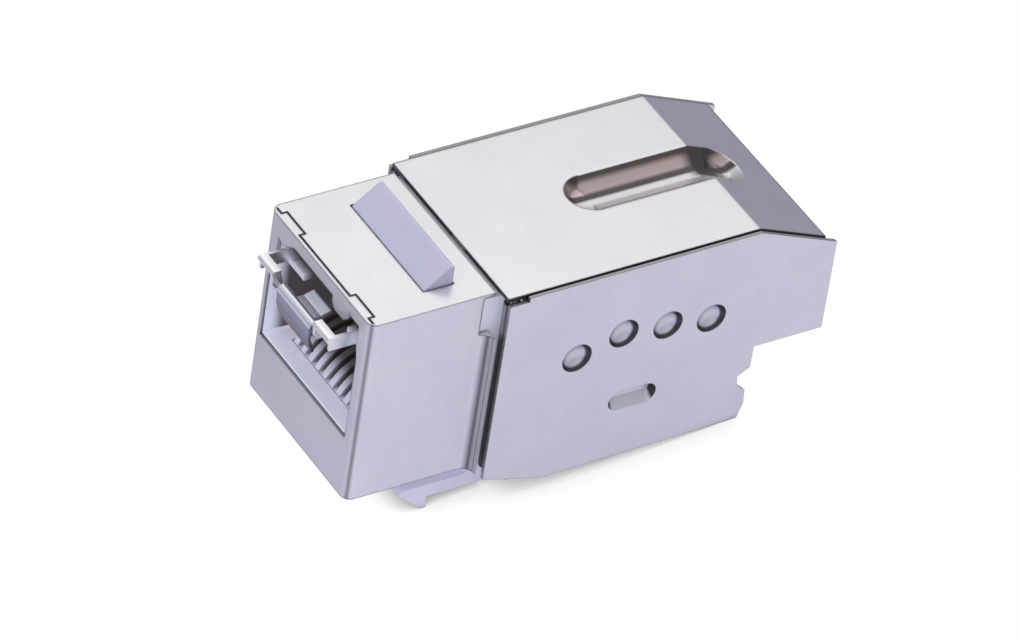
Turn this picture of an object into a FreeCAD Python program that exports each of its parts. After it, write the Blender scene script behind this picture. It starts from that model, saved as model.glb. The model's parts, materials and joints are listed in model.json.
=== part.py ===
import FreeCAD, Part
import math
import os
from FreeCAD import Vector

# Shielded tool-free keystone jack, in millimetres.
# X runs to the right seen from the front, Y runs rearward from the face, Z runs up.
# The origin is the middle of the face's lower edge.

# Sheet and clearances
sheet = 0.3
seat_gap = 0.1
run_gap = 0.05
body_gap = 0.3

# Front section, the part that stands in the panel opening
front_width = 14.5
front_height = 16.3
front_length = 10.3
face_bend_radius = 0.75
hook_width = 2.5
hook_length = 0.45
hook_offset = 4.95
slit = 0.13
flange_drop = 3.7
flange_inset = 0.41
flange_notch = 0.9

# Rear section
rear_width = 17.32
seam_gap = 0.45
bend_y = 32.0
tail_y = 38.9
tail_drop = 2.9
tail_bottom = 5.15
step_y = 33.1
belly_drop = 1.8
belly_rise_y = 15.85
belly_gap = 0.15
bottom_start_gap = 0.6
bottom_end_gap = 1.4
bottom_wall_start = 1.5
bottom_wall_height = 2.4
bottom_lip_height = 2.0
post_size = 1.6
tail_cover_short = 0.8
cover_lip = 1.5

# Plug port
port_width = 11.9
port_height = 6.85
port_floor = 5.45
port_depth = 13.0
port_lead = 0.25
lead_depth = 1.4
back_rim = 0.6
latch_channel_width = 6.2
latch_channel_height = 1.7
aperture_width = 12.8
aperture_sill = 5.1
aperture_step_gap = 0.1
aperture_rim = 0.4
face_strip = 1.05
aperture_top_width = 11.5
aperture_slant = 1.6
aperture_notch_width = 2.2
aperture_notch_foot = 0.7
aperture_notch_drop = 0.9
aperture_notch_side = 0.55
droop_tab_width = 2.2
droop_tab_length = 1.0
droop_tab_x = 3.1
droop_tab_round = 0.77

# Keystone snap features
catch_y = 7.9
nib_width = 10.3
nib_height = 1.5
nib_length = 2.35
nib_crest = 0.3
latch_width = 12.3
latch_drop = 3.0
latch_thickness = 1.2
tooth_height = 1.05
tooth_slope = 2.6
tooth_crest = 0.4
latch_toe_step = 0.35
latch_toe_slant = 0.3
latch_fillet = 0.3
latch_root_chamfer = 0.5
latch_root_y = 12.6
latch_root_length = 1.3
latch_pivot_z = -0.2

# Contact springs
contact_count = 8
contact_pitch = 1.016
contact_width = 0.36
contact_thickness = 0.25
contact_foot = 2.5
contact_bend_y = 1.0
contact_bend_z = 0.85
contact_run = 5.0
contact_rise = 2.6
contact_sink = 1.1
comb_start = 1.65
comb_length = 5.2
comb_height = 2.2
comb_rib = 0.55

# Circuit board and terminals
board_thickness = 1.0
board_z = 1.8
board_side_gap = 2.26
board_start = 9.0
board_tail = 2.24
board_corner = 1.0
terminal_pitch = 3.81
terminal_inset = 4.13
terminal_heights = (9.05, 10.15, 9.75, 9.2)
blade_thickness = 0.4
blade_width = 2.4
blade_slot = 0.4
blade_slot_root = 1.6
vee_depth = 0.9
vee_share = 0.8
blade_reach = 6.3
blade_root = 1.6
leg_width = 0.7
block_half_width = 5.0
block_gap = 0.2
block_top_gap = 0.4
wire_channel = 1.3
channel_depth = 1.6
channel_floor = 1.2
block_chamfer = 0.8

# Doors
hinge_inset = 0.65
hinge_setback = 0.6
pin_radius = 0.33
pin_drop = 0.2
dimple_diameter = 2.5
dimple_depth = 0.75
stuffer_thickness = 1.3
stuffer_finger = 1.1
stuffer_start_gap = 1.8
stuffer_bottom = 5.2
stuffer_top_gap = 2.7
stuffer_chamfer = 0.3
finger_gap = 0.55
finger_height = 2.05
louvre_relief = 0.8
door_clearance = 0.5
shoulder_length = 1.0
door_front_drop = 0.35
tail_flare = 0.1
rear_notch_top = 3.2
rear_notch_depth = 1.0
rear_notch_slant = 0.6
rear_notch_height = 1.6
rear_toe_top = -0.2
rear_toe_chamfer = 0.4
rear_toe_rise = 0.25
curl_bottom = 0.5
curl_top_gap = 0.7
louvre_y = 22.85
louvre_z = 3.6
louvre_length = 4.1
louvre_height = 1.8
louvre_depth = 0.6
louvre_taper = 0.35
louvre_floor = 0.5

# Trough pressed into the rear cover
trough_width = 4.1
trough_start = 20.6
trough_tail = 3.7
trough_depth = 1.1
trough_taper = 0.85
trough_overlap = 2.54

# Grounding clip and flap in the mouth of the port
clip_sheet = 0.25
clip_reach = 2.0
clip_drop = 2.2
ear_inner = 3.15
ear_width = 1.9
ear_depth = 0.75
clip_seat = 3.2
clip_arm_height = 1.15
clip_bridge = 1.2
ledge_start = 0.9
ledge_thickness = 0.55
flap_width = 4.6
flap_length = 2.3
flap_pin_radius = 0.2
flap_roll = 0.42
flap_tail_width = 2.5
flap_tail_length = 2.0
flap_setback = 0.6
flap_drop = 1.15

# Worked out from the sizes above
half_front = front_width / 2
half_rear = rear_width / 2
rear_start = front_length + seam_gap
housing_half = half_front - sheet - seat_gap
housing_bottom = sheet + seat_gap
housing_top = front_height - sheet - seat_gap
board_top = board_z + board_thickness
hinge_x = half_rear - hinge_inset
hinge_y = rear_start + hinge_setback
cover_half = half_rear - sheet - seat_gap
tail_slope = tail_drop / (tail_y - bend_y)
flange_length = half_rear - half_front - flange_inset
flange_height = front_height - flange_drop
aperture_top = front_height - face_strip
aperture_step = port_floor + port_height + aperture_step_gap
block_start = port_depth + block_gap
terminal_first_y = block_start + terminal_inset
board_end = terminal_first_y + 3 * terminal_pitch + board_tail
board_width = rear_width - 2 * board_side_gap
block_height = front_height - trough_depth - sheet - block_top_gap
clip_z = front_height - clip_drop
flap_z = clip_z - flap_drop
stuffer_start = block_start + stuffer_start_gap
neck_half = hinge_x - hinge_inset - door_clearance


def box(x0, x1, y0, y1, z0, z1):
    return Part.makeBox(x1 - x0, y1 - y0, z1 - z0, Vector(x0, y0, z0))


def prism_yz(points, x0, x1):
    """Extrude an outline in the YZ plane from x0 to x1."""
    corners = [Vector(x0, y, z) for y, z in points]
    face = Part.Face(Part.makePolygon(corners + corners[:1]))
    return face.extrude(Vector(x1 - x0, 0, 0))


def prism_xz(points, y0, y1):
    """Extrude an outline in the XZ plane from y0 to y1."""
    corners = [Vector(x, y0, z) for x, z in points]
    face = Part.Face(Part.makePolygon(corners + corners[:1]))
    return face.extrude(Vector(0, y1 - y0, 0))


def cylinder_x(radius, x0, x1, y, z):
    return Part.makeCylinder(radius, x1 - x0, Vector(x0, y, z), Vector(1, 0, 0))


def cylinder_z(radius, x, y, z0, z1):
    return Part.makeCylinder(radius, z1 - z0, Vector(x, y, z0))


def mirrored(shape):
    return shape.mirror(Vector(0, 0, 0), Vector(1, 0, 0))


def both_sides(shape):
    return [shape, mirrored(shape)]


def band(path, thickness, x0, x1, join=0):
    """A flat strip of even thickness along a path in the YZ plane; join 0 rounds its bends."""
    wire = Part.makePolygon([Vector(x0, y, z) for y, z in path])
    ring = wire.makeOffset2D(thickness / 2, join=join, openResult=False)
    return Part.Face(ring).extrude(Vector(x1 - x0, 0, 0))


def stadium(width, y0, y1, z):
    """A closed slot outline at height z, with round ends on the centre plane."""
    r = width / 2
    a, b = Vector(-r, y0 + r, z), Vector(-r, y1 - r, z)
    c, d = Vector(r, y1 - r, z), Vector(r, y0 + r, z)
    rear = Part.Arc(b, Vector(0, y1, z), c).toShape()
    front = Part.Arc(d, Vector(0, y0, z), a).toShape()
    return Part.Wire([Part.makeLine(a, b), rear, Part.makeLine(c, d), front])


def cover_z(y):
    """Height of the rear cover's outer face at a distance y behind the face."""
    return front_height - max(0.0, y - bend_y) * tail_slope


def aperture_tool():
    """Stepped opening of the face: the plug below, the latch and clip above."""
    a, b = aperture_width / 2, aperture_top_width / 2
    corner = aperture_step + (a - b) * aperture_slant
    outline = [(-a, aperture_sill), (a - aperture_rim, aperture_sill),
               (a - aperture_rim, aperture_step), (b, corner), (b, aperture_top),
               (-b + aperture_notch_width, aperture_top),
               (-b + aperture_notch_foot, aperture_top - aperture_notch_drop),
               (-b, aperture_top - aperture_notch_side), (-b, corner), (-a, aperture_step)]
    tool = prism_xz(outline, -1.0, sheet + 1.0)
    tab = box(droop_tab_x - droop_tab_width / 2, droop_tab_x + droop_tab_width / 2,
              -1.5, sheet + 1.5, aperture_top - droop_tab_length, aperture_top + 1.0)
    low = [e for e in tab.Edges if e.BoundBox.YLength > 1 and e.BoundBox.ZMax < aperture_top]
    return tool.cut(tab.makeFillet(droop_tab_round, low))


def hook_slits():
    """Slits that part the face from the top sheet and free its two hooks."""
    z0, z1 = front_height - sheet * 1.5, front_height + 1.0
    cuts = []
    edges = [-half_front + sheet, -hook_offset - hook_width / 2, -hook_offset + hook_width / 2,
             hook_offset - hook_width / 2, hook_offset + hook_width / 2, half_front - sheet]
    for left, right in ((0, 1), (2, 3), (4, 5)):
        cuts.append(box(edges[left], edges[right], sheet, sheet + slit, z0, z1))
    for x in (-hook_offset, hook_offset):
        a, b = x - hook_width / 2, x + hook_width / 2
        end = sheet + hook_length
        cuts.append(box(a - slit, b + slit, end, end + slit, z0, z1))
        cuts.append(box(a - slit, a, sheet, end, z0, z1))
        cuts.append(box(b, b + slit, sheet, end, z0, z1))
    return cuts


def flange():
    """Rolled fold at the rear of a side wall, stepping out to the rear width."""
    r = flange_length
    y0 = front_length - r
    outer = Part.Arc(Vector(half_front, y0, 0),
                     Vector(half_front + r * (1 - math.cos(math.pi / 4)),
                            y0 + r * math.sin(math.pi / 4), 0),
                     Vector(half_front + r, y0 + r, 0)).toShape()
    end = Part.makeLine(Vector(half_front + r, y0 + r, 0), Vector(half_front - sheet, y0 + r, 0))
    back = Part.makeLine(Vector(half_front - sheet, y0 + r, 0), Vector(half_front - sheet, y0, 0))
    close = Part.makeLine(Vector(half_front - sheet, y0, 0), Vector(half_front, y0, 0))
    return Part.Face(Part.Wire([outer, end, back, close])).extrude(Vector(0, 0, flange_height))


def front_shield():
    """Folded sheet round the front section, with the face, hooks and flanges."""
    outer = box(-half_front, half_front, 0, front_length, 0, front_height)
    upright = [e for e in outer.Edges if e.BoundBox.ZLength > 1 and e.BoundBox.YMax < 0.1]
    outer = outer.makeFillet(face_bend_radius, upright)
    inner = box(-half_front + sheet, half_front - sheet, sheet, front_length + 1,
                sheet, front_height - sheet)
    inner_upright = [e for e in inner.Edges if e.BoundBox.ZLength > 1
                     and e.BoundBox.YMax < sheet + 0.1]
    inner = inner.makeFillet(face_bend_radius - sheet, inner_upright)
    shell = outer.cut(inner).fuse(both_sides(flange()))
    nib_slot = box(-nib_width / 2 - seat_gap, nib_width / 2 + seat_gap,
                   catch_y - nib_length - seat_gap, catch_y + seat_gap,
                   front_height - 2 * sheet, front_height + 1)
    notch = box(half_front - sheet * 2, half_front + flange_length + 1,
                front_length - flange_length * flange_notch, front_length + 1,
                flange_height, front_height - sheet)
    tools = [aperture_tool(), nib_slot] + both_sides(notch) + hook_slits()
    return shell.cut(tools).removeSplitter()


def port_cavity():
    """Space for the plug body, its latch and the lead-in at the mouth."""
    h, top = port_width / 2, port_floor + port_height
    main = box(-h, h, -1, port_depth - 1.0, port_floor, top)
    channel = box(-latch_channel_width / 2, latch_channel_width / 2, -1, port_depth - 1.0,
                  top - 1, top + latch_channel_height)
    mouth = [Vector(-h - port_lead, -0.2, port_floor), Vector(h + port_lead, -0.2, port_floor),
             Vector(h + port_lead, -0.2, top), Vector(-h - port_lead, -0.2, top)]
    throat = [Vector(-h, lead_depth, port_floor), Vector(h, lead_depth, port_floor),
              Vector(h, lead_depth, top), Vector(-h, lead_depth, top)]
    lead = Part.makeLoft([Part.makePolygon(mouth + mouth[:1]),
                          Part.makePolygon(throat + throat[:1])], True, True)
    room = aperture_top_width / 2 - seat_gap
    roof = aperture_top - seat_gap
    clip_room = box(-room, room, -1, clip_seat, top + ledge_thickness, roof)
    clip_mouth = box(-room, room, -1, ledge_start, top - ledge_thickness, roof)
    return [main, channel, lead, clip_room, clip_mouth]


def port_housing():
    """Moulded housing with the plug port, the bezel and the fixed nib."""
    body = box(-housing_half, housing_half, sheet + seat_gap, front_length,
               housing_bottom, housing_top)
    corner = [e for e in body.Edges if e.BoundBox.ZLength > 1 and e.BoundBox.YMax < 1]
    body = body.makeFillet(face_bend_radius - sheet, corner)
    neck = box(-neck_half, neck_half, front_length, port_depth, housing_bottom, housing_top)
    sill = seat_gap * 2
    bezel = box(-aperture_width / 2 + sill, aperture_width / 2 - aperture_rim - sill, seat_gap, 1,
                aperture_sill + sill, aperture_step - sill)
    nib = prism_yz([(catch_y - nib_length, housing_top - 0.2),
                    (catch_y - nib_length, front_height - 0.05),
                    (catch_y - nib_crest, front_height + nib_height),
                    (catch_y, front_height + nib_height), (catch_y, housing_top - 0.2)],
                   -nib_width / 2, nib_width / 2)
    pit_half = contact_count * contact_pitch / 2 + comb_rib
    pit = box(-pit_half, pit_half, comb_start - run_gap, port_depth + 1,
              board_top - seat_gap, port_floor + 1)
    board_slot = box(-board_width / 2 - run_gap, board_width / 2 + run_gap,
                     board_start - run_gap, port_depth + 1, board_z - run_gap, board_top + run_gap)
    back = box(-port_width / 2, port_width / 2, port_depth - 2, port_depth + 1,
               port_floor + back_rim, port_floor + port_height - back_rim)
    return body.fuse([neck, bezel, nib]).cut(port_cavity() + [pit, board_slot, back]).removeSplitter()


def keystone_latch():
    """Flexible arm under the front section, with its snap tooth."""
    toe, top = catch_y - tooth_slope, latch_thickness - latch_drop
    root_front, tooth_z = latch_root_y - latch_root_length, -latch_drop - tooth_height
    outline = [(latch_root_y, run_gap), (latch_root_y, -latch_drop), (catch_y, -latch_drop),
               (catch_y, tooth_z), (catch_y - tooth_crest, tooth_z), (toe, top - latch_toe_step),
               (toe + latch_toe_slant, top), (root_front - latch_root_chamfer, top),
               (root_front, top + latch_root_chamfer), (root_front, run_gap)]
    arm = prism_yz(outline, -latch_width / 2, latch_width / 2)
    sides = [e for e in arm.Edges if e.BoundBox.XLength > 1
             and e.BoundBox.ZMin < -latch_drop + 0.01 and e.BoundBox.YMax > catch_y + 1]
    return arm.makeFillet(latch_fillet, sides)


def contact_x(index):
    return (index - (contact_count - 1) / 2) * contact_pitch


def contact_spring(index):
    """One gold-plated spring: a foot on the board, a tight bend, then the rising blade."""
    x = contact_x(index)
    foot_z = board_top + contact_thickness / 2
    rise = port_floor - contact_sink
    front = comb_start + contact_bend_y + contact_bend_y / 2
    tip_z = rise + 2 * contact_bend_z
    path = [(board_start + contact_foot, foot_z), (front, foot_z), (front, rise),
            (front - contact_bend_y / 2, rise + contact_bend_z), (front, tip_z),
            (front + contact_run, tip_z + contact_rise)]
    return band(path, contact_thickness, x - contact_width / 2, x + contact_width / 2, join=2)


def contact_comb():
    """Plastic comb that keeps the eight springs apart."""
    z0, top = board_top - seat_gap, port_floor + comb_height
    front = Part.Arc(Vector(0, comb_start, port_floor),
                     Vector(0, comb_start + comb_length * 0.22, port_floor + comb_height * 0.62),
                     Vector(0, comb_start + comb_length * 0.75, top)).toShape()
    corners = [Vector(0, comb_start + comb_length * 0.75, top),
               Vector(0, comb_start + comb_length, top),
               Vector(0, comb_start + comb_length, z0), Vector(0, comb_start, z0),
               Vector(0, comb_start, port_floor)]
    outline = Part.Face(Part.Wire([front] + Part.makePolygon(corners).Edges))
    ribs = []
    for index in range(contact_count + 1):
        rib = outline.extrude(Vector(comb_rib, 0, 0))
        rib.translate(Vector(contact_x(index) - contact_pitch / 2 - comb_rib / 2, 0, 0))
        ribs.append(rib)
    span = contact_count * contact_pitch / 2
    front_bar = box(-span, span, comb_start, comb_start + 0.6, z0, port_floor)
    return front_bar.fuse(ribs).removeSplitter()


def circuit_board():
    """Board that carries the springs at its front and the terminals behind."""
    board = box(-board_width / 2, board_width / 2, board_start, board_end, board_z, board_top)
    corners = [e for e in board.Edges if e.BoundBox.ZLength > 0.5 and e.BoundBox.YMin > board_end - 1]
    return board.makeFillet(board_corner, corners)


def terminal_y(index):
    return terminal_first_y + index * terminal_pitch


def terminal_blade(index):
    """Forked insulation-displacement blade on the +X side, with its leg to the board."""
    y, z = terminal_y(index), terminal_heights[index]
    t, w = blade_thickness / 2, blade_width / 2
    blade = box(blade_root, blade_reach, y - w, y + w, z - t, z + t)
    slot = box(blade_root + blade_slot_root, blade_reach + 1, y - blade_slot / 2, y + blade_slot / 2,
               z - 1, z + 1)
    vee_end, vee_half = blade_reach + 0.01, w * vee_share
    mouth = Part.makePolygon([Vector(vee_end, y - vee_half, z - 1),
                              Vector(vee_end, y + vee_half, z - 1),
                              Vector(blade_reach - vee_depth, y, z - 1),
                              Vector(vee_end, y - vee_half, z - 1)])
    leg = box(blade_root, blade_root + blade_thickness, y - leg_width / 2, y + leg_width / 2,
              board_top, z)
    vee = Part.Face(mouth).extrude(Vector(0, 0, 2))
    return blade.cut([slot, vee]).fuse(leg).removeSplitter()


def terminal_block():
    """Rear block with a wire channel and a blade pocket for each terminal."""
    z0 = board_top + run_gap
    block = box(-block_half_width, block_half_width, block_start, board_end, z0, block_height)
    tops = [e for e in block.Edges if e.BoundBox.YLength > 5 and e.BoundBox.ZMin > block_height - 1]
    block = block.makeChamfer(block_chamfer, tops)
    tools = []
    g = run_gap
    for index in range(4):
        y, z = terminal_y(index), terminal_heights[index]
        channel = box(block_half_width - channel_depth, block_half_width + 1, y - wire_channel / 2,
                      y + wire_channel / 2, z0 + channel_floor, block_height + 1)
        pocket = box(blade_root - g, block_half_width + 1, y - blade_width / 2 - g,
                     y + blade_width / 2 + g, z - blade_thickness / 2 - g,
                     z + blade_thickness / 2 + g)
        leg = box(blade_root - g, blade_root + blade_thickness + g, y - leg_width / 2 - g,
                  y + leg_width / 2 + g, z0 - 1, z)
        tools += both_sides(channel) + both_sides(pocket) + both_sides(leg)
    return block.cut(tools).removeSplitter()


def door_outline():
    """Side outline of a door, from the seam to the tail and its stepped underside."""
    top = front_height - body_gap / 3
    shoulder = front_height - sheet - body_gap / 2
    notch_y, notch_z = step_y - rear_notch_depth, rear_notch_top - rear_notch_slant
    return [(rear_start, -door_front_drop), (rear_start, shoulder),
            (hinge_y + shoulder_length, shoulder), (hinge_y + shoulder_length, top),
            (bend_y, top), (tail_y, top - tail_drop), (tail_y + tail_flare, tail_bottom),
            (step_y, tail_bottom), (step_y, rear_notch_top), (notch_y, notch_z),
            (notch_y + tail_flare, rear_notch_top - rear_notch_slant * 2.5),
            (step_y - tail_flare, notch_z - rear_notch_height), (step_y, rear_toe_top),
            (step_y - rear_toe_chamfer, rear_toe_rise - belly_drop), (belly_rise_y, -belly_drop)]


def dimple(y, z):
    """Round dimple: the bump inside the sheet and the bowl outside it."""
    rim = dimple_diameter / 2
    radius = (rim ** 2 + dimple_depth ** 2) / (2 * dimple_depth)
    bump = Part.makeCylinder(rim + seat_gap, dimple_depth + sheet / 2,
                             Vector(half_rear - sheet / 2, y, z), Vector(-1, 0, 0))
    return bump, Part.makeSphere(radius, Vector(half_rear - dimple_depth + radius, y, z))


def rounded_slot(x, length, height, z):
    """A stadium lying along Y in the plane at x, centred on the louvre."""
    r, half = height / 2, length / 2 - height / 2
    y0, y1 = louvre_y - half, louvre_y + half
    low = Part.makeLine(Vector(x, y0, z - r), Vector(x, y1, z - r))
    rear = Part.Arc(Vector(x, y1, z - r), Vector(x, y1 + r, z), Vector(x, y1, z + r)).toShape()
    top = Part.makeLine(Vector(x, y1, z + r), Vector(x, y0, z + r))
    front = Part.Arc(Vector(x, y0, z + r), Vector(x, y0 - r, z), Vector(x, y0, z - r)).toShape()
    return Part.Wire([low, rear, top, front])


def louvre():
    """Formed louvre below the dimples: the bulge inside the sheet and its hollow."""
    rim = rounded_slot(half_rear + 0.01, louvre_length, louvre_height, louvre_z)
    floor = rounded_slot(half_rear - louvre_depth, louvre_length - 2 * louvre_taper,
                         louvre_floor, louvre_z + louvre_taper / 2)
    back = rounded_slot(half_rear - sheet / 2, louvre_length, louvre_height, louvre_z)
    bulge = Part.Face(back).extrude(Vector(-louvre_depth - sheet / 2, 0, 0))
    return bulge, Part.makeLoft([rim, floor], True, True)


def door():
    """Hinged side door on the +X side, with its curl, dimples and louvre."""
    panel = prism_yz(door_outline(), half_rear - sheet, half_rear)
    curl = cylinder_z(hinge_inset, hinge_x, hinge_y, curl_bottom, front_height - curl_top_gap)
    bumps, hollows = [curl], [cylinder_z(pin_radius + run_gap, hinge_x, hinge_y, -1, front_height)]
    for index in range(4):
        bump, hollow = dimple(terminal_y(index), terminal_heights[index])
        bumps.append(bump)
        hollows.append(hollow)
    bump, hollow = louvre()
    return panel.fuse(bumps + [bump]).cut(hollows + [hollow]).removeSplitter()


def wire_stuffer():
    """Moulded presser inside a door, with two fingers over each terminal."""
    x1 = half_rear - sheet
    x0 = x1 - stuffer_thickness
    z0, z1 = stuffer_bottom, front_height - stuffer_top_gap
    plate = box(x0, x1, stuffer_start, board_end, z0, z1)
    rims = [e for e in plate.Edges if e.BoundBox.XMax < x0 + 0.01]
    plate = plate.makeChamfer(stuffer_chamfer, rims)
    fingers, pockets = [], []
    for index in range(4):
        y, z = terminal_y(index), terminal_heights[index]
        for low in (z - finger_gap - finger_height, z + finger_gap):
            fingers.append(box(block_half_width + body_gap, x0 + seat_gap, y - stuffer_finger / 2,
                               y + stuffer_finger / 2, low, low + finger_height))
        pocket_x = half_rear - dimple_depth - sheet - run_gap
        pockets.append(Part.makeCylinder(dimple_diameter / 2 + body_gap, x1 - x0,
                                         Vector(pocket_x, y, z), Vector(1, 0, 0)))
    louvre_room = box(x1 - louvre_relief, x1 + 1, louvre_y - louvre_length,
                      louvre_y + louvre_length, z0 - 1, louvre_z + louvre_height)
    return plate.fuse(fingers).cut(pockets + [louvre_room]).removeSplitter()


def hinge_pin():
    return cylinder_z(pin_radius, hinge_x, hinge_y, -pin_drop, front_height - sheet)


def tapered_slot(grow, depth, top, y0, y1):
    """Stadium that narrows downward, from height top to depth under the cover."""
    upper = stadium(trough_width + 2 * grow, y0 - grow, y1 + grow, top)
    lower = stadium(trough_width - 2 * trough_taper + 2 * grow, y0 + trough_taper - grow,
                    y1 - trough_taper + grow, front_height - depth)
    return Part.makeLoft([upper, lower], True)


def trough(grow, depth, top):
    """The pressed trough: along the top, then on over the bend and down the tail."""
    flat = tapered_slot(grow, depth, top, trough_start, bend_y + trough_overlap)
    tail = tapered_slot(grow, depth, top, bend_y - trough_overlap, bend_y + trough_tail)
    tail.rotate(Vector(0, bend_y, front_height), Vector(1, 0, 0),
                -math.degrees(math.atan(tail_slope)))
    return flat.fuse(tail)


def rear_cover():
    """Top sheet of the rear section, with its sloping tail, trough and side lips."""
    end = tail_y - tail_cover_short
    points = [(rear_start, front_height), (bend_y, front_height), (end, cover_z(end)),
              (end, cover_z(end) - sheet), (bend_y - sheet * 0.2, front_height - sheet),
              (rear_start, front_height - sheet)]
    cover = prism_yz(points, -cover_half, cover_half)
    under = [(rear_start, front_height - 0.01), (bend_y, front_height - 0.01),
             (end, cover_z(end) - 0.01), (end, front_height - tail_drop - trough_depth * 2),
             (rear_start, front_height - tail_drop - trough_depth * 2)]
    backing = trough(sheet, trough_depth + sheet, front_height)
    backing = backing.common(prism_yz(under, -cover_half, cover_half))
    lip = box(cover_half - sheet, cover_half, hinge_y + shoulder_length, bend_y - 1,
              front_height - cover_lip, front_height - sheet / 2)
    hollow = trough(0, trough_depth, front_height + 0.01)
    return cover.fuse([backing] + both_sides(lip)).cut(hollow).removeSplitter()


def bottom_shield():
    """Sheet under the rear section, with upturned sides and three board posts."""
    z0, y0, y1 = belly_gap - belly_drop, latch_root_y + bottom_start_gap, step_y - bottom_end_gap
    half, r = half_rear - sheet - body_gap, post_size / 2
    floor = box(-half, half, y0, y1, z0, z0 + sheet)
    sides = both_sides(box(half - sheet, half, y0 + bottom_wall_start, y1, z0,
                           z0 + bottom_wall_height))
    lip = box(bottom_wall_start - half, half - bottom_wall_start, y1 - sheet, y1, z0,
              z0 + bottom_lip_height)
    posts = [box(x - r, x + r, y - r, y + r, z0, board_z)
             for x, y in ((-block_half_width, stuffer_start + 1), (block_half_width, stuffer_start + 1),
                          (0, board_end - board_tail))]
    return floor.fuse(sides + [lip] + posts).removeSplitter()


def ground_clip():
    """Sprung metal clip in the port's mouth: a bridge, two thin arms and two ears.

    Each ear is bent in from the top of its arm and down again to carry the flap's pin.
    """
    z0, z1 = clip_z - clip_sheet, clip_z
    outer, front = ear_inner + ear_width, -clip_reach
    bridge = box(-outer, outer, clip_seat - clip_bridge, clip_seat, z0, z1)
    arm = box(outer - clip_sheet, outer, front + clip_sheet, clip_seat,
              z1 - clip_arm_height, z1)
    ear = box(ear_inner - clip_sheet, outer, front + clip_sheet, front + ear_depth, z0, z1)
    nose = cylinder_x(clip_sheet, ear_inner - clip_sheet, outer, front + clip_sheet, z0)
    web_rear = flap_y() + flap_roll
    web = prism_yz([(front + clip_sheet / 2, z0), (front + clip_sheet / 2, flap_z),
                    (flap_y() - flap_pin_radius, flap_z - flap_roll),
                    (flap_y() + flap_pin_radius, flap_z - flap_roll),
                    (web_rear, flap_z), (front + ear_depth, z0)],
                   ear_inner - clip_sheet, ear_inner)
    lug = box(outer, aperture_top_width / 2 - seat_gap, clip_seat - clip_bridge, clip_seat,
              z0, z1)
    return bridge.fuse(both_sides(arm.fuse([ear, nose, web, lug]))).removeSplitter()


def flap_y():
    return -clip_reach + flap_setback


def port_flap():
    """Sheet flap that hangs in the mouth of the port from a rolled edge, with a short tail."""
    y, half = flap_y(), flap_width / 2
    roll = cylinder_x(flap_roll, -half, half, y, flap_z)
    front = y - flap_roll + clip_sheet / 2
    tongue = band([(front, flap_z), (front + 0.05, flap_z - flap_length * 0.5),
                   (front + 0.45, flap_z - flap_length)], clip_sheet, -half, half)
    tail_z = flap_z - flap_roll + clip_sheet / 2
    tail = band([(y, tail_z), (y + flap_tail_length * 0.6, tail_z),
                 (y + flap_tail_length, tail_z + clip_sheet)],
                clip_sheet, -flap_tail_width / 2, flap_tail_width / 2)
    bore = cylinder_x(flap_pin_radius + run_gap, -half - 1, half + 1, y, flap_z)
    return roll.fuse([tongue, tail]).cut(bore).removeSplitter()


def flap_pin():
    half = ear_inner - clip_sheet
    return cylinder_x(flap_pin_radius, -half, half, flap_y(), flap_z)


def all_parts():
    parts = {"front_shield": front_shield(), "port_housing": port_housing(),
             "keystone_latch": keystone_latch(), "contact_comb": contact_comb(),
             "circuit_board": circuit_board(), "terminal_block": terminal_block(),
             "rear_cover": rear_cover(), "bottom_shield": bottom_shield(),
             "ground_clip": ground_clip(), "port_flap": port_flap(), "flap_pin": flap_pin()}
    for index in range(contact_count):
        parts["contact_spring_%d" % (index + 1)] = contact_spring(index)
    for index in range(4):
        blade = terminal_blade(index)
        parts["terminal_right_%d" % (index + 1)] = blade
        parts["terminal_left_%d" % (index + 1)] = mirrored(blade)
    for name, shape in (("side_door", door()), ("wire_stuffer", wire_stuffer()),
                        ("hinge_pin", hinge_pin())):
        parts[name + "_right"] = shape
        parts[name + "_left"] = mirrored(shape)
    return parts


os.makedirs("parts", exist_ok=True)
for node, shape in all_parts().items():
    if not shape.isValid():
        raise ValueError(node + " is not a valid solid")
    shape.exportStep("parts/" + node + ".step")
    b = shape.BoundBox
    print(node, len(shape.Solids), round(shape.Volume, 2),
          [round(v, 2) for v in (b.XMin, b.XMax, b.YMin, b.YMax, b.ZMin, b.ZMax)])
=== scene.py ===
import json
import math

import bpy
from mathutils import Matrix, Vector

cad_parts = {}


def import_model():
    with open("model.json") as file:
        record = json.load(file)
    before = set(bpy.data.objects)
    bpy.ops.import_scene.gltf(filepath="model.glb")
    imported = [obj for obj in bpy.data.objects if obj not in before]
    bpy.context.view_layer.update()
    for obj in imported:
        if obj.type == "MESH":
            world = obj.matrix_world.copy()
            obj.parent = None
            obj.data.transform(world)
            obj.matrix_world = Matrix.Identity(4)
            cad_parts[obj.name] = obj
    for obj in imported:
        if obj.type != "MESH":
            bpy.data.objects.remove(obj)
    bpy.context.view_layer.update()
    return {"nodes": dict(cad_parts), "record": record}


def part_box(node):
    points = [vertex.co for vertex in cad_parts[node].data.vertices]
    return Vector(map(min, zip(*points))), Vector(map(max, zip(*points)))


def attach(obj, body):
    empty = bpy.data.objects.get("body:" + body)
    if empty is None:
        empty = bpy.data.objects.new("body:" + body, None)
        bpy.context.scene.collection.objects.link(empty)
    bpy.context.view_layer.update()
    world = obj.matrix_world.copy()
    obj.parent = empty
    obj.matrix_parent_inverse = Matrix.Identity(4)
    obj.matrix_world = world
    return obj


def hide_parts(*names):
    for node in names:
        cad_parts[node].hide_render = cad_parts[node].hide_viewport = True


MM = 0.001
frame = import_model()

# Sizes and places are in millimetres, colours are linear, and stops are (place, colour).
WHITE, BLACK = (1, 1, 1), (0, 0, 0)
NOISE_LOW, NOISE_HIGH = 0.3, 0.7            # the stretch of a noise that carries its tones


# ------------------------------------------------------- the cover and its trough

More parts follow.
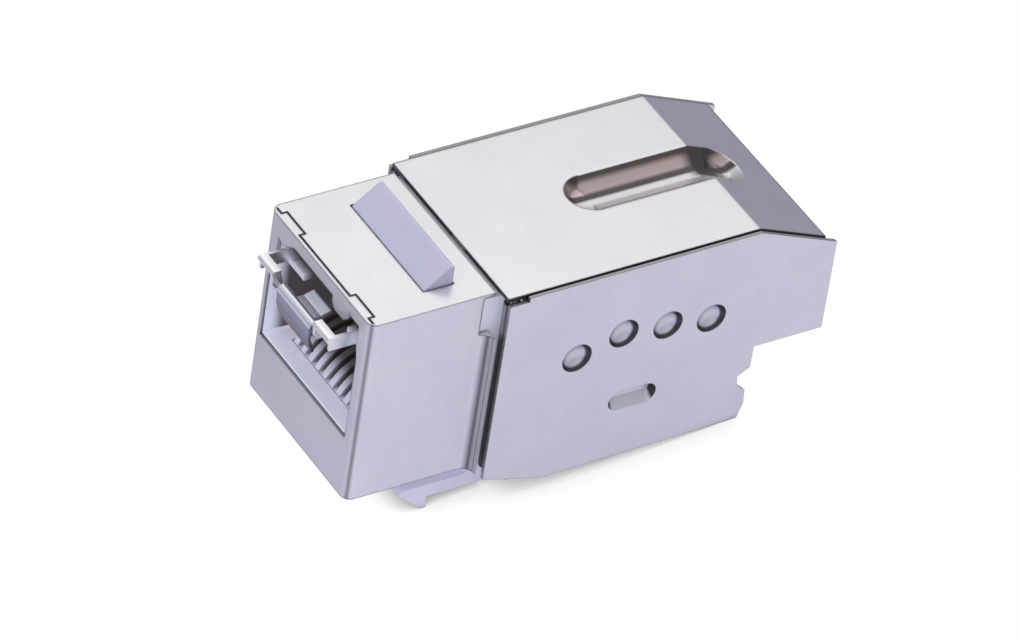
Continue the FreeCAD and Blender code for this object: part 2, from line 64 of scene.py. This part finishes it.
COVER_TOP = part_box("rear_cover")[1].z / MM
BEND_Y = 32.0                               # where the cover bends down to its tail
TAIL_SLOPE = 2.9 / 6.9
TROUGH_DEPTH = 1.1
TROUGH_REACH = 2.1                          # from the middle to just past its rim
TROUGH_RIM = 0.04                           # how far below the sheet it is taken to begin
FLOOR_REACH = 1.35                          # from the middle to just past its floor
FLOOR_SINK = (0.7, 1.15)                    # what counts as floor, as shares of its depth
FLOOR_NARROWING = 0.5
FLOOR_RISE = 0.25


# --------------------------------------------------------------- painted reflection and shade by direction

# Bright sheet mirrors a darker room wherever it turns away from its own plane; these stops
# paint that reflection into the colour, from turned away to square on.
BEND_STOPS = [(0.72, (0.20, 0.17, 0.17)), (0.86, (0.60, 0.59, 0.64)), (0.97, WHITE)]
COVER_STOPS = [(0.74, (0.10, 0.085, 0.08)), (0.85, (0.20, 0.17, 0.16)),
               (0.915, (0.56, 0.56, 0.63)), (0.975, WHITE)]
DOOR_STOPS = [(0.05, (0.50, 0.46, 0.46)), (0.45, (0.06, 0.06, 0.07)),
              (0.71, (0.09, 0.09, 0.10)), (0.80, (0.86, 0.90, 1.0)),
              (0.96, (0.95, 0.95, 0.96))]
SHELL_FRONT = 3.0                           # how far back the front face's painted light and shade reach
UPRIGHT_LIMIT = 0.2                         # largest Z of a normal on an upright bend
UPRIGHT_EASE = 0.11                         # how much painted light the lit upright bends get
FACE_SHADE = 0.08                           # how much painted shade holds the front face back
HOLLOW_LEAN = 0.08                          # how much painted shade darkens a hollow that faces down


# ------------------------------------------------------------------- tones by place, most of them painted light and shade

# colours of the painted reflection and shade across the trough
WARM_DARK, TAN, ROSY_TAN = (0.13, 0.11, 0.10), (0.62, 0.51, 0.47), (0.72, 0.60, 0.57)
TROUGH_BANDS = [(-2.1, (0.09, 0.08, 0.07)), (-1.7, WARM_DARK), (-1.35, TAN), (-0.8, ROSY_TAN),
                (-0.6, WARM_DARK), (-0.2, (0.12, 0.10, 0.11)), (0.05, (0.95, 0.94, 0.93)),
                (1.5, WHITE), (1.8, (0.40, 0.36, 0.33)), (2.0, (0.9, 0.9, 0.9))]
TROUGH_END_BANDS = [(-2.1, (0.09, 0.08, 0.08)), (0.0, WARM_DARK), (0.3, (0.16, 0.14, 0.15)),
                    (0.6, WHITE), (2.1, WHITE)]
# where along the trough its painted end bands take over
TROUGH_ENDS = [(20.4, WHITE), (21.5, BLACK), (31.0, BLACK), (31.9, WHITE), (33.4, WHITE),
               (34.2, BLACK)]

SILL_TOP = 5.6                              # just over the floor of the port
UNDER_SHEET = 15.5                          # just under the top sheet
PORT_REACH = 6.1                            # from the middle to just past the port's side
PORT_FADE, COMB_FADE = (0.5, 1.7), (1.75, 3.1)      # where painted shade darkens the port and its comb
# the brown of the painted shade deep in the port
PORT_SHADE_BROWN = (0.13, 0.105, 0.095)
CROWN_STOPS = [(15.9, WHITE), (16.1, (0.80, 0.78, 0.86))]
FLAP_TAIL_START = -0.9
# painted shade on the flap: its tongue darker downwards, clear along its roll
FLAP_STOPS = [(10.3, (0.18, 0.14, 0.13)), (11.3, (0.20, 0.17, 0.18)),
              (12.2, (0.42, 0.41, 0.48)), (12.82, (0.46, 0.46, 0.54)), (12.95, WHITE)]


# ---------------------------------------------------------------- node helpers

def new_material(name):
    """A material, its node tree and its Principled shader."""
    mat = bpy.data.materials.new(name)
    mat.use_nodes = True
    tree = mat.node_tree
    tree.nodes.clear()
    out = tree.nodes.new("ShaderNodeOutputMaterial")
    shader = tree.nodes.new("ShaderNodeBsdfPrincipled")
    tree.links.new(shader.outputs[0], out.inputs["Surface"])
    return mat, tree, shader


def noise(tree, scale, stretch=(1, 1, 1), detail=4.0, rough=0.55):
    """Noise over the piece's own place in millimetres, stretched along its axes."""
    coord = tree.nodes.new("ShaderNodeTexCoord")
    mapping = tree.nodes.new("ShaderNodeMapping")
    mapping.inputs["Scale"].default_value = [share / MM for share in stretch]
    node = tree.nodes.new("ShaderNodeTexNoise")
    node.inputs["Scale"].default_value = scale
    node.inputs["Detail"].default_value = detail
    node.inputs["Roughness"].default_value = rough
    tree.links.new(coord.outputs["Object"], mapping.inputs["Vector"])
    tree.links.new(mapping.outputs[0], node.inputs["Vector"])
    return node.outputs["Fac"]


def ramp(tree, fac, stops):
    """A colour ramp over fac."""
    node = tree.nodes.new("ShaderNodeValToRGB")
    elements = node.color_ramp.elements
    while len(elements) < len(stops):
        elements.new(0.5)
    for element, (position, colour) in zip(elements, stops):
        element.position = position
        element.color = (*colour, 1)
    tree.links.new(fac, node.inputs["Fac"])
    return node.outputs["Color"]


def map_range(tree, value, source, target=(0.0, 1.0), curve="LINEAR"):
    """value taken from the source range to the target range."""
    node = tree.nodes.new("ShaderNodeMapRange")
    node.interpolation_type = curve
    node.inputs["From Min"].default_value, node.inputs["From Max"].default_value = source
    node.inputs["To Min"].default_value, node.inputs["To Max"].default_value = target
    tree.links.new(value, node.inputs["Value"])
    return node.outputs[0]


def cloudy(tree, fac, deep, light):
    """Colour that drifts between deep and light with a noise."""
    return ramp(tree, fac, [(NOISE_LOW, deep), (NOISE_HIGH, light)])


def drift(tree, fac, middle, down, up):
    """Value that drifts from down below to up above its middle with a noise."""
    return map_range(tree, fac, (NOISE_LOW, NOISE_HIGH), (middle - down, middle + up))


def math_node(tree, operation, a, b=None):
    """A math node; a and b are sockets or numbers."""
    node = tree.nodes.new("ShaderNodeMath")
    node.operation = operation
    for socket, value in zip(node.inputs, (a, b)):
        if isinstance(value, (int, float)):
            socket.default_value = value
        elif value is not None:
            tree.links.new(value, socket)
    return node.outputs[0]


def product(tree, first, *others):
    """All the values multiplied, which for masks is 1 only where each one is 1."""
    for other in others:
        first = math_node(tree, "MULTIPLY", first, other)
    return first


def mix_colours(tree, kind, share, a, b):
    """A colour mix; share, a and b are sockets, or a number and colours."""
    node = tree.nodes.new("ShaderNodeMix")
    node.data_type = "RGBA"
    node.blend_type = kind
    for socket, value in zip((node.inputs[0], node.inputs[6], node.inputs[7]), (share, a, b)):
        if isinstance(value, float):
            socket.default_value = value
        elif isinstance(value, tuple):
            socket.default_value = (*value, 1)
        else:
            tree.links.new(value, socket)
    return node.outputs[2]


def multiply(tree, a, b):
    """Colour a darkened by colour b."""
    return mix_colours(tree, "MULTIPLY", 1.0, a, b)


def blend(tree, share, a, b):
    """Colour a where share is 0, and b where it is 1."""
    return mix_colours(tree, "MIX", share, a, b)


def painted_crevice_shade(tree, reach_mm, dark, power=1.0, clear=0.75):
    """Painted shade: colour that falls to dark where surfaces close in on each other."""
    node = tree.nodes.new("ShaderNodeAmbientOcclusion")
    node.inputs["Distance"].default_value = reach_mm * MM
    node.samples = 8
    openness = math_node(tree, "POWER", node.outputs["AO"], power)
    return ramp(tree, openness, [(0.0, dark), (clear, WHITE)])


def bump(tree, shader, height, strength, distance_mm, normal=None):
    """Fine relief from a noise, over a shading normal where one is given."""
    node = tree.nodes.new("ShaderNodeBump")
    if normal:
        tree.links.new(normal, node.inputs["Normal"])
    node.inputs["Strength"].default_value = strength
    node.inputs["Distance"].default_value = distance_mm * MM
    tree.links.new(height, node.inputs["Height"])
    tree.links.new(node.outputs[0], shader.inputs["Normal"])


def rounded_normal(tree, radius_mm):
    """Shading normal that rolls over every edge, as a folded sheet's does."""
    node = tree.nodes.new("ShaderNodeBevel")
    node.samples = 6
    node.inputs["Radius"].default_value = radius_mm * MM
    return node.outputs[0]


def own_axes(tree, vector):
    """The X, Y and Z of a world direction along the axes of its own piece."""
    turn = tree.nodes.new("ShaderNodeVectorTransform")
    turn.vector_type = "NORMAL"
    turn.convert_from, turn.convert_to = "WORLD", "OBJECT"
    tree.links.new(vector, turn.inputs[0])
    split = tree.nodes.new("ShaderNodeSeparateXYZ")
    tree.links.new(turn.outputs[0], split.inputs[0])
    return [split.outputs[axis] for axis in "XYZ"]


def own_place(tree, axis):
    """The place along one axis of the piece, in metres."""
    coord = tree.nodes.new("ShaderNodeTexCoord")
    split = tree.nodes.new("ShaderNodeSeparateXYZ")
    tree.links.new(coord.outputs["Object"], split.inputs[0])
    return split.outputs[axis]


def before(tree, axis, limit_mm):
    """1 before a place along one axis of the piece, 0 past it."""
    return math_node(tree, "LESS_THAN", own_place(tree, axis), limit_mm * MM)


def past(tree, axis, limit_mm):
    """1 past a place along one axis of the piece, 0 before it."""
    return math_node(tree, "GREATER_THAN", own_place(tree, axis), limit_mm * MM)


def near_middle(tree, reach_mm):
    """1 within reach_mm of the middle plane of the jack, 0 further out."""
    side = math_node(tree, "ABSOLUTE", own_place(tree, "X"))
    return math_node(tree, "LESS_THAN", side, reach_mm * MM)


def axis_tone(tree, axis, stops):
    """Colour by place along one axis of the piece; the stops' places are millimetres."""
    low, high = stops[0][0], stops[-1][0]
    place = map_range(tree, own_place(tree, axis), (low * MM, high * MM))
    return ramp(tree, place, [((at - low) / (high - low), colour) for at, colour in stops])


# ------------------------------------------------------------------ sheet finishes

def shell_turn(tree, normal):
    """How squarely the shell faces along an axis, with painted light on its lit upright bend
    and painted shade on its front face.
    """
    x, y, z = own_axes(tree, normal)
    x_size, y_size, z_size = (math_node(tree, "ABSOLUTE", part) for part in (x, y, z))
    square = math_node(tree, "MAXIMUM", math_node(tree, "MAXIMUM", x_size, y_size), z_size)
    at_front = before(tree, "Y", SHELL_FRONT)
    upright = math_node(tree, "LESS_THAN", z_size, UPRIGHT_LIMIT)
    to_light = math_node(tree, "GREATER_THAN", x, 0.0)
    eased = math_node(tree, "ADD", square,
                      product(tree, upright, to_light, at_front, UPRIGHT_EASE))
    forward = product(tree, math_node(tree, "MINIMUM", y, 0.0), FACE_SHADE, at_front)
    return math_node(tree, "ADD", math_node(tree, "MINIMUM", eased, 1.0), forward)


def in_trough(tree):
    """1 where the cover's sheet is sunk into its trough, 0 elsewhere."""
    past_bend = math_node(tree, "SUBTRACT", own_place(tree, "Y"), BEND_Y * MM)
    fall = product(tree, math_node(tree, "MAXIMUM", past_bend, 0.0), TAIL_SLOPE)
    level = math_node(tree, "SUBTRACT", (COVER_TOP - TROUGH_RIM) * MM, fall)
    sunk = math_node(tree, "LESS_THAN", own_place(tree, "Z"), level)
    return product(tree, sunk, near_middle(tree, TROUGH_REACH))


def cover_turn(tree, normal):
    """How squarely the cover faces up, for its painted reflection; inside the trough the
    painted bands set the tone.
    """
    upward = math_node(tree, "ABSOLUTE", own_axes(tree, normal)[2])
    return math_node(tree, "MAXIMUM", upward, in_trough(tree))


def trough_painted_light(tree):
    """Painted reflection and shade in bands along the trough: the far wall warm, a dark line,
    the near side bright.
    """
    at_ends = axis_tone(tree, "Y", TROUGH_ENDS)
    bands = blend(tree, at_ends, axis_tone(tree, "X", TROUGH_BANDS),
                  axis_tone(tree, "X", TROUGH_END_BANDS))
    return blend(tree, in_trough(tree), WHITE, bands)


def door_turn(tree, normal):
    """How squarely a door faces sideways, with painted shade where a hollow faces down."""
    x, y, z = own_axes(tree, normal)
    return math_node(tree, "ADD", math_node(tree, "ABSOLUTE", x),
                     product(tree, z, HOLLOW_LEAN))


def sheet_material(name, turn, stops, radius_mm, hollow=(0.9, 0.75), painted_tone=None):
    """Tinned sheet: drawn grain, cloudy tone, warm painted shade in crevices.

    turn gives how squarely the sheet faces and stops the painted reflection tone for that.
    hollow is the reach in millimetres of the painted shade in hollows, and how open a place
    has to be to stay clear. The last argument gives one more colour of painted light and
    shade to darken by.
    """
    mat, tree, shader = new_material(name)
    cloud = noise(tree, 0.22, detail=3)
    brushed = noise(tree, 9.0, (1, 0.12, 1), detail=6, rough=0.7)
    normal = rounded_normal(tree, radius_mm)
    reach_mm, clear = hollow
    # grain, painted shade in hollows, and painted reflection and shade by direction
    layers = [ramp(tree, brushed, [(0.25, (0.93, 0.93, 0.94)), (0.75, WHITE)]),
              painted_crevice_shade(tree, reach_mm, (0.10, 0.075, 0.06), 1.2, clear),
              ramp(tree, turn(tree, normal), stops)]
    if painted_tone:
        layers.append(painted_tone(tree))
    tone = cloudy(tree, cloud, (0.84, 0.83, 0.86), (0.89, 0.88, 0.90))
    for layer in layers:
        tone = multiply(tree, tone, layer)
    tree.links.new(tone, shader.inputs["Base Color"])
    tree.links.new(drift(tree, brushed, 0.34, 0.05, 0.07), shader.inputs["Roughness"])
    shader.inputs["Metallic"].default_value = 0.75
    bump(tree, shader, brushed, 0.12, 0.012, normal)
    return mat


# --------------------------------------------------------- plastic and other metal

def port_painted_shade(tree, fade):
    """Painted shade: white at the mouth of the port and brown past the fade, inside the port
    alone.
    """
    deep = map_range(tree, own_place(tree, "Y"), [place * MM for place in fade],
                     curve="SMOOTHSTEP")
    inside = product(tree, deep, before(tree, "Z", UNDER_SHEET), past(tree, "Z", SILL_TOP),
                     near_middle(tree, PORT_REACH))
    return ramp(tree, inside, [(0.0, WHITE), (1.0, PORT_SHADE_BROWN)])


def plastic_material(name, deep, light, rough, dark, reach_mm=1.2, clear=0.75, fade=None,
                     painted_glow=None):
    """Moulded plastic: fine spark texture, faint flow clouds, painted shade in crevices.

    fade is where painted shade darkens it inside the port. The last argument is a painted
    glow that the pale plastic gives off below the top sheet; above it, at the crown, the
    plastic is a little deeper.
    """
    mat, tree, shader = new_material(name)
    cloud = noise(tree, 0.35, detail=3)
    spark = noise(tree, 16.0, detail=5, rough=0.6)
    tone = multiply(tree, cloudy(tree, cloud, deep, light),
                    painted_crevice_shade(tree, reach_mm, dark, clear=clear))
    if fade:
        tone = multiply(tree, tone, port_painted_shade(tree, fade))
    if painted_glow:
        tone = multiply(tree, tone, axis_tone(tree, "Z", CROWN_STOPS))
        # the painted glow: below the top sheet the plastic gives off light of its own tone
        glow = blend(tree, before(tree, "Z", UNDER_SHEET), BLACK, tone)
        tree.links.new(glow, shader.inputs["Emission Color"])
        shader.inputs["Emission Strength"].default_value = painted_glow
    tree.links.new(tone, shader.inputs["Base Color"])
    tree.links.new(drift(tree, spark, rough, 0.05, 0.08), shader.inputs["Roughness"])
    bump(tree, shader, spark, 0.15, 0.01, rounded_normal(tree, 0.15))
    return mat


def flap_painted_shade(tree):
    """Painted shade on the flap: its roll left bright along its top, its tongue darker
    downwards, its tail plain.
    """
    return blend(tree, past(tree, "Y", FLAP_TAIL_START), axis_tone(tree, "Z", FLAP_STOPS),
                 WHITE)


def metal_material(name, deep, light, rough, grain, painted_tone=None):
    """Plated or bright metal with drawn lines, worn tone and painted shade in crevices; the
    last argument adds painted light and shade by place.
    """
    mat, tree, shader = new_material(name)
    lines = noise(tree, 12.0, grain, detail=6, rough=0.7)
    tone = multiply(tree, cloudy(tree, lines, deep, light),
                    painted_crevice_shade(tree, 0.5, (0.35, 0.3, 0.3)))
    if painted_tone:
        tone = multiply(tree, tone, painted_tone(tree))
    tree.links.new(tone, shader.inputs["Base Color"])
    tree.links.new(drift(tree, lines, rough, 0.04, 0.08), shader.inputs["Roughness"])
    shader.inputs["Metallic"].default_value = 1.0
    bump(tree, shader, lines, 0.15, 0.008)
    return mat


def board_material():
    """Green solder resist with a fine glass weave and cloudy gloss."""
    mat, tree, shader = new_material("board_resist")
    weave = noise(tree, 5.0, (1, 4, 1), detail=2)
    tone = cloudy(tree, weave, (0.01, 0.07, 0.04), (0.02, 0.13, 0.07))
    tree.links.new(tone, shader.inputs["Base Color"])
    tree.links.new(map_range(tree, weave, (NOISE_LOW, NOISE_HIGH), (0.25, 0.4)),
                   shader.inputs["Roughness"])
    bump(tree, shader, weave, 0.2, 0.02)
    return mat


# ------------------------------------------------------------------- materials

PALE = ((0.79, 0.81, 0.97), (0.84, 0.85, 0.99), 0.42)       # deep, light, roughness
ALONG_X, ALONG_Y, ALONG_Z = (0.15, 1, 1), (1, 0.2, 1), (1, 1, 0.1)

SLOT_MATERIALS = {
    "shield_sheet": sheet_material("tinned_shell", shell_turn, BEND_STOPS, 0.22),
    # the latch and nib plastic, with a painted glow
    "pale_plastic": plastic_material("pale_plastic", *PALE, (0.30, 0.28, 0.33), painted_glow=0.12),
    "inner_plastic": plastic_material("inner_plastic", (0.42, 0.44, 0.58), (0.50, 0.52, 0.66),
                                      0.5, (0.10, 0.09, 0.10)),
    "gold_spring": metal_material("gold_plate", (0.55, 0.36, 0.18), (0.80, 0.56, 0.27), 0.28,
                                  ALONG_Y),
    "terminal_metal": metal_material("tin_plate", (0.60, 0.58, 0.55), (0.75, 0.73, 0.68), 0.3,
                                     (0.2, 1, 1)),
    "clip_steel": metal_material("bright_clip", (0.90, 0.90, 0.92), (1.0, 0.99, 0.98), 0.3,
                                 ALONG_X),
    "board": board_material(),
    "pin_steel": metal_material("drawn_wire", (0.50, 0.50, 0.54), (0.66, 0.66, 0.70), 0.3,
                                ALONG_Z),
}

door_mat = sheet_material("tinned_door", door_turn, DOOR_STOPS, 0.10)
# Pieces with painted light and shade of their own: bands in the cover's trough, shade deep in
# the port and comb with a painted glow, and shade on the flap's tongue.
NODE_MATERIALS = {
    "rear_cover": sheet_material("tinned_cover", cover_turn, COVER_STOPS, 0.28, (1.5, 0.93),
                                 trough_painted_light),
    "side_door_right": door_mat,
    "side_door_left": door_mat,
    "port_housing": plastic_material("port_plastic", *PALE, (0.16, 0.13, 0.14), 0.6, 0.4,
                                     PORT_FADE, 0.24),
    "contact_comb": plastic_material("comb_plastic", *PALE, (0.05, 0.04, 0.04), 0.9, 0.7,
                                     COMB_FADE, 0.10),
    "port_flap": metal_material("shaded_flap", (0.85, 0.86, 0.95), (0.95, 0.95, 1.0), 0.3,
                                ALONG_X, flap_painted_shade),
}


# -------------------------------------------------------------------- the pieces

ROUND_WIDTHS = {"shield_sheet": 0.05, "pale_plastic": 0.08, "inner_plastic": 0.08}
SHARP_ANGLE = math.radians(40)


def soften(obj, width_mm):
    """Small rounds on the sharp edges, with smooth shading between them."""
    rounds = obj.modifiers.new("rounds", "BEVEL")
    rounds.width = width_mm * MM
    rounds.segments = 2
    rounds.limit_method = "ANGLE"
    rounds.angle_limit = SHARP_ANGLE
    rounds.harden_normals = True
    rounds.use_clamp_overlap = True


def finish_piece(obj, node, slot):
    """Give a piece its finish, and its edges their small rounds."""
    obj.data.materials.clear()
    obj.data.materials.append(NODE_MATERIALS.get(node, SLOT_MATERIALS[slot]))
    if slot in ROUND_WIDTHS:
        soften(obj, ROUND_WIDTHS[slot])


def dress_nodes():
    """Finish every CAD node that shows."""
    for part in frame["record"]["subparts"]:
        finish_piece(frame["nodes"][part["node"]], part["node"], part["material_slot"])


def drawn_cover():
    """The rear cover with its trough's floor drawn up and in, as the pressed sheet flows."""
    source = frame["nodes"]["rear_cover"]
    mesh = source.data.copy()
    tail_lean = math.cos(math.atan(TAIL_SLOPE))
    shallowest, deepest = (share * TROUGH_DEPTH for share in FLOOR_SINK)
    for vert in mesh.vertices:
        x, y, z = vert.co / MM
        level = COVER_TOP - max(0.0, y - BEND_Y) * TAIL_SLOPE
        sunk = (level - z) * (tail_lean if y > BEND_Y else 1.0)
        if abs(x) < FLOOR_REACH and shallowest < sunk < deepest:
            vert.co.x *= FLOOR_NARROWING
            vert.co.z += FLOOR_RISE * MM
    cover = bpy.data.objects.new("drawn_cover", mesh)
    bpy.context.scene.collection.objects.link(cover)
    cover.matrix_world = source.matrix_world.copy()
    finish_piece(cover, "rear_cover", "shield_sheet")
    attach(cover, "housing")
    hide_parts("rear_cover")


# ------------------------------------------------------------------------- floor

FLOOR_SIZE = 3.0                            # metres
FLOOR_GAP = 0.02
TOOTH_Y = 2.4                               # the tooth's lowest edge, from the latch's front
BELLY_Y, BELLY_RISE = 32.7, 0.25            # where the rear belly rests
FLOOR_TONES = ((0.88, 0.88, 0.97), (0.92, 0.92, 1.0))
MIRRORED_STOPS = [(-22, (0.40, 0.40, 0.52)), (6, (0.78, 0.78, 0.98))]
MIRRORED_SHARE = 0.5
SEEN_SHARE = 0.95
GLOW_STRENGTH = 1.02
SHADOW_REACH, SHADOW_CLEAR = 4.0, 0.6
SHADOW_TONE = (0.16, 0.16, 0.15)


def with_glow(tree, base_shader, ray, share, colour):
    """base_shader with a share of plain glow mixed in for one kind of ray."""
    path = tree.nodes.new("ShaderNodeLightPath")
    glow = tree.nodes.new("ShaderNodeEmission")
    glow.inputs["Strength"].default_value = GLOW_STRENGTH
    tree.links.new(colour, glow.inputs["Color"])
    mix = tree.nodes.new("ShaderNodeMixShader")
    tree.links.new(product(tree, path.outputs[ray], share), mix.inputs[0])
    tree.links.new(base_shader, mix.inputs[1])
    tree.links.new(glow.outputs[0], mix.inputs[2])
    return mix.outputs[0]


def floor_material():
    """Pale floor that the camera sees near white but for a contact shadow.

    Gloss on the jack shows it as a pale side of the room, greyer towards minus X.
    """
    mat, tree, shader = new_material("pale_floor")
    tone = cloudy(tree, noise(tree, 0.02, detail=2), *FLOOR_TONES)
    tree.links.new(tone, shader.inputs["Base Color"])
    shader.inputs["Roughness"].default_value = 0.9
    room_side = axis_tone(tree, "X", MIRRORED_STOPS)
    mirrored = with_glow(tree, shader.outputs[0], "Is Glossy Ray", MIRRORED_SHARE, room_side)
    shadow = painted_crevice_shade(tree, SHADOW_REACH, SHADOW_TONE, clear=SHADOW_CLEAR)
    seen = with_glow(tree, mirrored, "Is Camera Ray", SEEN_SHARE, shadow)
    out = next(node for node in tree.nodes if node.type == "OUTPUT_MATERIAL")
    tree.links.new(seen, out.inputs["Surface"])
    return mat


def make_floor():
    """The floor that the jack's latch tooth and rear belly stand on."""
    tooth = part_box("keystone_latch")[0]
    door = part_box("side_door_right")[0]
    tooth_y = tooth.y + TOOTH_Y * MM
    rise = math.atan2(door.z + BELLY_RISE * MM - tooth.z, BELLY_Y * MM - tooth_y)
    bpy.ops.mesh.primitive_plane_add(size=FLOOR_SIZE)
    floor = bpy.context.object
    floor.name = "floor"
    floor.rotation_euler = (rise, 0, 0)
    floor.location = (0, tooth_y, tooth.z - FLOOR_GAP * MM)
    floor.data.materials.append(floor_material())


# ------------------------------------------------------------- room, lamps, camera

SKY_STOPS = [(0.0, (0.42, 0.42, 0.53)), (0.28, (0.60, 0.60, 0.68)), (0.6, (0.95, 0.95, 0.95))]
ROOM_STRENGTH = 0.68
MIDDLE = Vector((0, 18, 8))                 # what the lamps and the camera look at
LAMPS = [("overhead", (-90, 90, 230), 200, 0.10),           # name, place, size, watts
         ("side_fill", (230, -30, 110), 160, 0.02),
         ("front_window", (30, -250, 140), 140, 0.12)]
AZIMUTH, ELEVATION, ROLL = (math.radians(angle) for angle in (53.36, 39.19, -9.37))
DISTANCE = 600.0
PICTURE_WIDTH = 73.9613                     # what the picture spans at the middle
PICTURE_SHIFT = (-0.869, -1.851)            # of its centre from the middle, right and up
SENSOR_WIDTH = 36.0


def make_world():
    """Soft room, white overhead and greyer at the horizon, that the camera sees white."""
    world = bpy.data.worlds.new("room")
    bpy.context.scene.world = world
    world.use_nodes = True
    tree = world.node_tree
    tree.nodes.clear()
    out = tree.nodes.new("ShaderNodeOutputWorld")
    coord = tree.nodes.new("ShaderNodeTexCoord")
    split = tree.nodes.new("ShaderNodeSeparateXYZ")
    tree.links.new(coord.outputs["Generated"], split.inputs[0])
    room = tree.nodes.new("ShaderNodeBackground")
    room.inputs["Strength"].default_value = ROOM_STRENGTH
    tree.links.new(ramp(tree, split.outputs["Z"], SKY_STOPS), room.inputs["Color"])
    backdrop = tree.nodes.new("ShaderNodeBackground")
    backdrop.inputs["Strength"].default_value = 1.0
    path = tree.nodes.new("ShaderNodeLightPath")
    mix = tree.nodes.new("ShaderNodeMixShader")
    tree.links.new(path.outputs["Is Camera Ray"], mix.inputs[0])
    tree.links.new(room.outputs[0], mix.inputs[1])
    tree.links.new(backdrop.outputs[0], mix.inputs[2])
    tree.links.new(mix.outputs[0], out.inputs["Surface"])


def make_lamp(name, place, size, watts):
    """A soft square lamp aimed at the middle of the jack."""
    lamp = bpy.data.lights.new(name, "AREA")
    lamp.shape = "SQUARE"
    lamp.size = size * MM
    lamp.energy = watts
    obj = bpy.data.objects.new(name, lamp)
    bpy.context.scene.collection.objects.link(obj)
    obj.location = Vector(place) * MM
    aim = MIDDLE * MM - obj.location
    obj.rotation_euler = aim.to_track_quat("-Z", "Y").to_euler()


def make_camera():
    """Long-lens view from the right, front and above, rolled a little."""
    back = Vector((math.sin(AZIMUTH) * math.cos(ELEVATION),
                   -math.cos(AZIMUTH) * math.cos(ELEVATION), math.sin(ELEVATION)))
    right = Vector((math.cos(AZIMUTH), math.sin(AZIMUTH), 0))
    up = back.cross(right)
    rolled_right = right * math.cos(ROLL) - up * math.sin(ROLL)
    rolled_up = right * math.sin(ROLL) + up * math.cos(ROLL)
    shift_right, shift_up = PICTURE_SHIFT
    place = MIDDLE + rolled_right * shift_right + rolled_up * shift_up + back * DISTANCE
    data = bpy.data.cameras.new("camera")
    data.sensor_width = SENSOR_WIDTH
    data.lens = SENSOR_WIDTH * DISTANCE / PICTURE_WIDTH
    data.clip_start, data.clip_end = 0.01, 10.0
    camera = bpy.data.objects.new("camera", data)
    bpy.context.scene.collection.objects.link(camera)
    turn = Matrix((rolled_right, rolled_up, back)).transposed().to_4x4()
    camera.matrix_world = Matrix.Translation(place * MM) @ turn
    bpy.context.scene.camera = camera


# ------------------------------------------------------------------- the scene

bpy.context.scene.view_settings.view_transform = "Standard"
dress_nodes()
drawn_cover()
make_world()
make_floor()
for lamp_values in LAMPS:
    make_lamp(*lamp_values)
make_camera()
